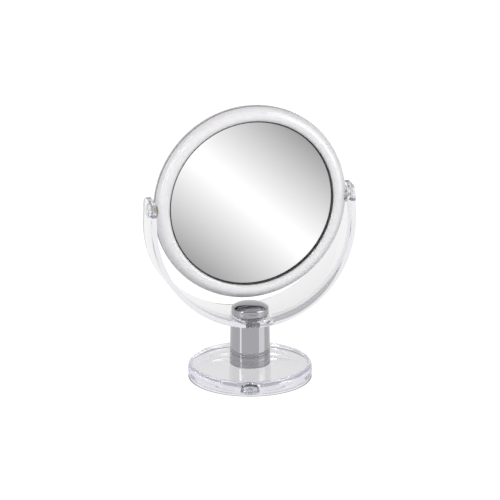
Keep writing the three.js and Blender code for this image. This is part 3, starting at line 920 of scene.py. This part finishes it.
def plate_profile(front, facing):
    """Closed profile of a plate whose front surface is front(radius), with a ground edge."""
    stations = [SILVER_RADIUS * i / 20 for i in range(21)]
    stations += [LIP_RADIUS + 0.1, GLASS_RADIUS - 0.3]
    face = [(r, front(r)) for r in stations]
    edge = [(GLASS_RADIUS, front(GLASS_RADIUS) - 0.3),
            (GLASS_RADIUS, front(GLASS_RADIUS) - GLASS_THICKNESS + 0.3)]
    back = [(r, front(r) - GLASS_THICKNESS) for r in reversed(stations)]
    return [(r, facing * along) for r, along in face + edge + back]


def mirrors():
    plain = turned("plain", plate_profile(lambda r: GLASS_FACE_Y, -1), about_y, 192)
    dress_plate(plain, "plain_mirror", -1)

    def dish(radius):
        return GLASS_FACE_Y - (GLASS_RADIUS ** 2 - radius ** 2) / (2 * MAGNIFIER_CURVATURE)
    magnifier = turned("magnifier", plate_profile(dish, 1), about_y, 192)
    dress_plate(magnifier, "magnifying_mirror", 1)


def mirror_spacer():
    inner = GLASS_RADIUS - 7
    outer = GLASS_RADIUS - 0.3
    gap = GLASS_FACE_Y - GLASS_THICKNESS
    dish = (GLASS_RADIUS ** 2 - inner ** 2) / (2 * MAGNIFIER_CURVATURE)
    profile = rounded([
        (inner, -gap + CLEARANCE, 0.3),
        (outer, -gap + CLEARANCE, 0.3),
        (outer, gap - CLEARANCE, 0.3),
        (inner, gap - dish - CLEARANCE, 0.3),
    ])
    stand_for(turned("spacer", profile, about_y, 192), "mirror_spacer", "white_nylon", NYLON)


# ------------------------------------------------------------------ stage
PAPER_DIRECT = 1.3     # glow of the paper where the camera sees it directly
PAPER_THROUGH = 1.06   # and where it is seen through the clear pieces
PAPER_SHARE = 0.8      # how much of the paper's look is glow there
PAPER_REACH = 0.1      # metres from the middle that the stops of the painted shade run over
PAINTED_SHADE_UNDER_BASE = 0.85      # glow of the paper under the clear disc, lowered as painted shade
PAINTED_SHADOW_UNDER_FOOT = 0.3       # glow of the paper in a ring under the disc's rounded foot, lowered as a painted shadow


def plane(name, centre, right, up, width, height):
    """A flat card in metres, facing the cross product of right and up."""
    c, r, u = Vector(centre), Vector(right).normalized(), Vector(up).normalized()
    signs = ((-1, -1), (1, -1), (1, 1), (-1, 1))
    corners = [c + r * (a * width / 2) + u * (b * height / 2) for a, b in signs]
    mesh = bpy.data.meshes.new(name)
    mesh.from_pydata(corners, [], [(0, 1, 2, 3)])
    uv = mesh.uv_layers.new(name="card")
    for loop, place in zip(uv.data, ((0, 0), (1, 0), (1, 1), (0, 1))):
        loop.uv = place
    card = bpy.data.objects.new(name, mesh)
    bpy.context.scene.collection.objects.link(card)
    return card


def floor():
    """Pale paper, lit to plain white where it is seen directly or through the clear pieces,
    and a little greyer for the light that it throws back. Its glow carries a painted shade
    under the clear disc and a painted shadow ring under the disc's rounded foot."""
    n = Nodes("paper")
    n.set(specular_ior_level=0.0)
    tone = n.blend(n.noise(60.0, 6.0), (0.42, 0.42, 0.42), (0.46, 0.46, 0.46))
    n.link(tone, n.shader.inputs["Base Color"])
    n.link(n.spread(n.noise(300.0, 3.0), 0.85, 1.0), n.shader.inputs["Roughness"])
    path = n.tree.nodes.new("ShaderNodeLightPath")
    seen = n.tree.nodes.new("ShaderNodeMath")
    seen.operation = "MAXIMUM"
    n.link(path.outputs["Is Transmission Ray"], seen.inputs[0])
    n.link(path.outputs["Is Camera Ray"], seen.inputs[1])
    white = n.tree.nodes.new("ShaderNodeEmission")
    reach = n.tree.nodes.new("ShaderNodeVectorMath")
    reach.operation = "LENGTH"
    n.link(n.place, reach.inputs[0])
    # painted shade: the paper's glow is lowered under the clear disc, and most in a ring under its
    # rounded foot, by distance from the middle
    painted_shade = grey_ramp(n.tree, [
        (0.0, PAINTED_SHADE_UNDER_BASE),
        (0.545, PAINTED_SHADE_UNDER_BASE),
        (0.554, PAINTED_SHADOW_UNDER_FOOT),
        (0.564, PAINTED_SHADOW_UNDER_FOOT),
        (0.573, 1.0),
    ])
    distance = n.spread(reach.outputs["Value"], 0.0, 1.0, 0.0, PAPER_REACH)
    n.link(distance, painted_shade.inputs["Fac"])
    n.link(painted_shade.outputs["Color"], white.inputs["Color"])
    glow = n.spread(path.outputs["Is Camera Ray"], PAPER_THROUGH, PAPER_DIRECT, 0.0, 1.0)
    n.link(glow, white.inputs["Strength"])
    mix = n.tree.nodes.new("ShaderNodeMixShader")
    n.link(n.spread(seen.outputs["Value"], 0.0, PAPER_SHARE, 0.0, 1.0), mix.inputs["Fac"])
    n.link(n.shader.outputs["BSDF"], mix.inputs[1])
    n.link(white.outputs["Emission"], mix.inputs[2])
    n.link(mix.outputs["Shader"], n.output.inputs["Surface"])
    ground = plane("floor", (0, 0, -0.0003), (1, 0, 0), (0, 1, 0), 12, 12)
    ground.data.materials.append(n.material)
    ground.visible_glossy = False


def emission(name, strength, tint=(1, 1, 1)):
    material = bpy.data.materials.new(name)
    material.use_nodes = True
    tree = material.node_tree
    tree.nodes.remove(tree.nodes["Principled BSDF"])
    glow = tree.nodes.new("ShaderNodeEmission")
    glow.inputs["Color"].default_value = (*tint, 1)
    glow.inputs["Strength"].default_value = strength
    tree.links.new(glow.outputs["Emission"], tree.nodes["Material Output"].inputs["Surface"])
    return material, tree, glow


def reflected_only(card):
    """The card shows in reflections and lights nothing."""
    card.visible_camera = False
    card.visible_diffuse = False
    card.visible_shadow = False
    card.visible_transmission = False
    card.visible_volume_scatter = False


def toward(azimuth, elevation=0.0):
    """Unit vector from the object: azimuth 0 is -Y, 90 is +X."""
    a, e = math.radians(azimuth), math.radians(elevation)
    return Vector((math.sin(a) * math.cos(e), -math.cos(a) * math.cos(e), math.sin(e)))


def standing_card(name, azimuth, distance, width, low, high, dim, bright):
    """A vertical light card round the object, for its reflections, dim below and bright above."""
    away = toward(azimuth)
    centre = away * distance + Vector((0, 0, (low + high) / 2))
    right = Vector((0, 0, 1)).cross(-away)
    card = plane(name, centre, right, (0, 0, 1), width, high - low)
    material, tree, glow = emission(name, 1.0)
    apart = tree.nodes.new("ShaderNodeSeparateXYZ")
    tree.links.new(tree.nodes.new("ShaderNodeTexCoord").outputs["UV"], apart.inputs["Vector"])
    rise = tree.nodes.new("ShaderNodeMapRange")
    rise.inputs["From Min"].default_value = 0.2
    rise.inputs["From Max"].default_value = 0.42
    rise.inputs["To Min"].default_value = dim
    rise.inputs["To Max"].default_value = bright
    tree.links.new(apart.outputs["Y"], rise.inputs["Value"])
    tree.links.new(rise.outputs["Result"], glow.inputs["Strength"])
    card.data.materials.append(material)
    reflected_only(card)
    card.visible_transmission = True


def area_light(name, azimuth, elevation, distance, width, height, power):
    data = bpy.data.lights.new(name, "AREA")
    data.shape = "RECTANGLE"
    data.size, data.size_y = width, height
    data.energy = power
    lamp = bpy.data.objects.new(name, data)
    target = Vector((0, 0, 0.12))
    lamp.location = target + toward(azimuth, elevation) * distance
    lamp.rotation_euler = (target - lamp.location).to_track_quat("-Z", "Y").to_euler()
    bpy.context.scene.collection.objects.link(lamp)
    lamp.visible_camera = False
    lamp.visible_glossy = False
    lamp.visible_transmission = False


def mirror_card(camera_place):
    """The gradient that the flat mirror shows: a card square to the reflected view."""
    centre = Vector((0, -GLASS_FACE_Y, PIVOT_Z)) * MM
    view = (centre - camera_place).normalized()
    out = Vector((view.x, -view.y, view.z))
    distance = 0.21
    right = Vector((0, 0, 1)).cross(out)
    up = out.cross(right)
    card = plane("mirror_card", centre + out * distance, right, up, 0.26, 0.26)
    material, tree, glow = emission("mirror_card", 1.0)
    place = tree.nodes.new("ShaderNodeTexCoord").outputs["UV"]
    turn = tree.nodes.new("ShaderNodeMapping")
    turn.inputs["Location"].default_value = (0.5, 0.5, 0)
    turn.inputs["Rotation"].default_value = (0, 0, math.radians(-50))
    shift = tree.nodes.new("ShaderNodeVectorMath")
    shift.operation = "SUBTRACT"
    shift.inputs[1].default_value = (0.5, 0.5, 0)
    tree.links.new(place, shift.inputs[0])
    tree.links.new(shift.outputs["Vector"], turn.inputs["Vector"])
    apart = tree.nodes.new("ShaderNodeSeparateXYZ")
    tree.links.new(turn.outputs["Vector"], apart.inputs["Vector"])
    stops = ((0.16, 0.285), (0.48, 1.1), (0.52, 1.1), (0.84, 0.285))
    ramp = grey_ramp(tree, stops, "LINEAR")
    tree.links.new(apart.outputs["X"], ramp.inputs["Fac"])
    tree.links.new(ramp.outputs["Color"], glow.inputs["Color"])
    card.data.materials.append(material)
    reflected_only(card)
    card.visible_transmission = True
    card.visible_glossy = False


def grey_ramp(tree, stops, interpolation="EASE"):
    """A colour ramp of greys from (position, level) pairs."""
    ramp = tree.nodes.new("ShaderNodeValToRGB")
    ramp.color_ramp.interpolation = interpolation
    elements = ramp.color_ramp.elements
    elements.remove(elements[1])
    elements[0].position = stops[0][0]
    elements[0].color = (*(stops[0][1],) * 3, 1)
    for position, level in stops[1:]:
        elements.new(position).color = (level, level, level, 1)
    return ramp


def world():
    """A dim room over a white table for reflections and for looking through the clear pieces;
    plain white for the camera; soft light from above for everything matt."""
    room = bpy.data.worlds.new("room")
    room.use_nodes = True
    bpy.context.scene.world = room
    tree = room.node_tree
    way = tree.nodes.new("ShaderNodeTexCoord").outputs["Generated"]
    apart = tree.nodes.new("ShaderNodeSeparateXYZ")
    tree.links.new(way, apart.inputs["Vector"])
    path = tree.nodes.new("ShaderNodeLightPath")

    def share(value, start, end):
        node = tree.nodes.new("ShaderNodeMapRange")
        node.inputs["From Min"].default_value = start
        node.inputs["From Max"].default_value = end
        tree.links.new(value, node.inputs["Value"])
        return node.outputs["Result"]

    def by_height(*stops):
        """A grey that follows the direction's height, from -1 straight down to 1 straight up."""
        ramp = grey_ramp(tree, [((1 + height) / 2, level) for height, level in stops])
        tree.links.new(share(apart.outputs["Z"], -1.0, 1.0), ramp.inputs["Fac"])
        return ramp.outputs["Color"]

    def choose(factor, otherwise, colour):
        mix = tree.nodes.new("ShaderNodeMix")
        mix.data_type = "RGBA"
        ends = [s for s in mix.inputs if s.type == "RGBA"]
        for end, value in zip(ends, (otherwise, colour)):
            if isinstance(value, float):
                end.default_value = (value, value, value, 1)
            else:
                tree.links.new(value, end)
        tree.links.new(factor, mix.inputs["Factor"])
        return [s for s in mix.outputs if s.type == "RGBA"][0]

    mirrored = by_height((-1.0, 0.91), (0.0, 0.91), (0.50, 0.76), (0.56, 0.03),
                         (0.70, 0.03), (0.76, 0.6), (1.0, 0.6))
    through = by_height((-1.0, 0.93), (0.0, 0.91), (0.08, 0.55),
                        (0.60, 0.5), (0.80, 0.75), (1.0, 0.75))
    matt = by_height((-1.0, 0.3), (0.0, 0.4), (1.0, 0.45))
    level = choose(path.outputs["Is Transmission Ray"], mirrored, through)
    level = choose(path.outputs["Is Diffuse Ray"], level, matt)
    level = choose(path.outputs["Is Camera Ray"], level, 1.0)
    tree.links.new(level, tree.nodes["Background"].inputs["Color"])


def camera():
    azimuth, elevation, distance = -16.65, 17.93, 2.946
    target = Vector((0, 0, 0.1205))
    data = bpy.data.cameras.new("camera")
    data.sensor_width = 36.0
    data.lens = 233.5
    eye = bpy.data.objects.new("camera", data)
    eye.location = target + toward(azimuth, elevation) * distance
    eye.rotation_euler = (target - eye.location).to_track_quat("-Z", "Y").to_euler()
    bpy.context.scene.collection.objects.link(eye)
    bpy.context.scene.camera = eye
    return eye


# ------------------------------------------------------------------ everything together
base_disc()
column()
centre_bolt()
swivel_bush()
friction_spring()
threaded_insert("cap_insert", BOLT_RADIUS + 0.05, INSERT_RADIUS,
                SPRING_POCKET_Z + 0.1, CAP_BORE_TOP_Z - 0.3, about_z)
top_cap()
yoke()
ring_half("front_ring", -1)
ring_half("rear_ring", 1)
mirrors()
mirror_spacer()
for name, side in (("left", -1), ("right", 1)):
    pivot(name, side)

floor()
eye = camera()
mirror_card(eye.location)
standing_card("left_strip", azimuth=-70.7, distance=0.6, width=0.10,
              low=-0.3, high=0.9, dim=1.8, bright=5.5)
standing_card("right_strip", azimuth=55.0, distance=0.6, width=0.42,
              low=-0.3, high=0.9, dim=1.45, bright=2.5)
area_light("key", -45, 25, 1.6, 1.1, 0.9, 12.5)
area_light("fill", 45, 15, 1.6, 0.9, 0.9, 10.5)
area_light("back", 170, 20, 1.6, 1.1, 0.9, 6)
world()
scene = bpy.context.scene
scene.view_settings.view_transform = "Standard"
scene.cycles.max_bounces = 32
scene.cycles.glossy_bounces = 32
scene.cycles.transmission_bounces = 32
